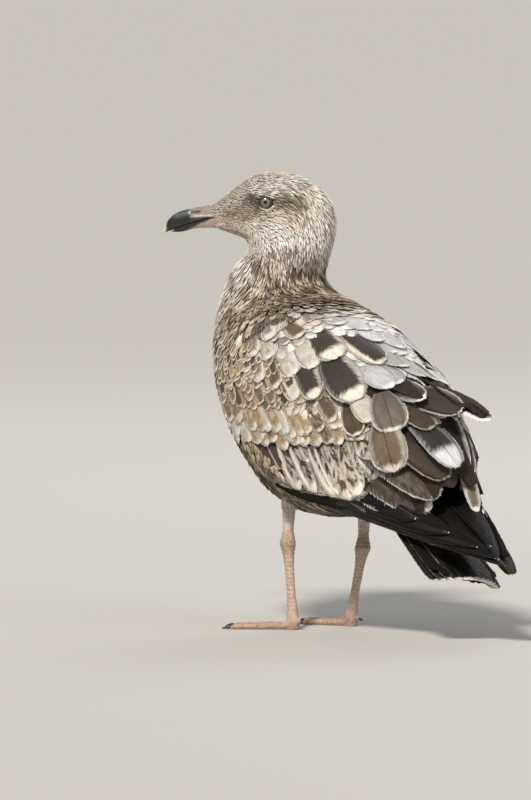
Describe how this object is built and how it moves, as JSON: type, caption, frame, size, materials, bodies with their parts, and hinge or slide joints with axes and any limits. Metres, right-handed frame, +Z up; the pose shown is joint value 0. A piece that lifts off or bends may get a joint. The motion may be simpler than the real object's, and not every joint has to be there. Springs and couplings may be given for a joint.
{
  "type": "herring gull model",
  "caption": "Life-size display model of a young herring gull, standing still on webbed feet with folded wings and its head turned to its left.",
  "frame": {"origin": "centre of the bottom of the bird's box, at the level of its soles", "axes": "+Z up; the bird's body faces -Y and its own left side is +X, so +Y runs towards the tail"},
  "size_m": [0.1628, 0.377, 0.3542],
  "materials": {
    "head_plumage": "short soft feathers, cream finely streaked with brown",
    "body_plumage": "soft body feathers, streaked and scalloped brown, grey and cream",
    "wing_coverts": "overlapping tan-brown feathers with cream fringes",
    "tertial_feathers": "smooth dark brown vanes with pale edges and tips",
    "flight_feathers": "glossy brown-black vanes with small pale tips",
    "tail_feathers": "brown-black vanes with a narrow white tip",
    "bill_horn": "satin horn, slate black with a dull pink base and pale tip",
    "eye": "wet glossy eye with a grey iris and black pupil",
    "leg_skin": "flesh-pink scaly skin, browner at the joints",
    "claw_horn": "satin dark horn"
  },
  "bodies": {
    "root": {"head": "head_plumage", "neck": "head_plumage", "trunk": "body_plumage", "bill_upper": "bill_horn", "bill_lower": "bill_horn", "tail": "tail_feathers", "eye_left": "eye", "eye_right": "eye", "wing_left": "wing_coverts", "wing_right": "wing_coverts", "tertials_left": "tertial_feathers", "tertials_right": "tertial_feathers", "primaries_left": "flight_feathers", "primaries_right": "flight_feathers", "tibia_left": "leg_skin", "tibia_right": "leg_skin", "tarsus_left": "leg_skin", "tarsus_right": "leg_skin", "foot_left": "leg_skin", "foot_right": "leg_skin", "claw_left_1": "claw_horn", "claw_left_2": "claw_horn", "claw_left_3": "claw_horn", "claw_left_4": "claw_horn", "claw_right_1": "claw_horn", "claw_right_2": "claw_horn", "claw_right_3": "claw_horn", "claw_right_4": "claw_horn"}
  },
  "joints": []
}
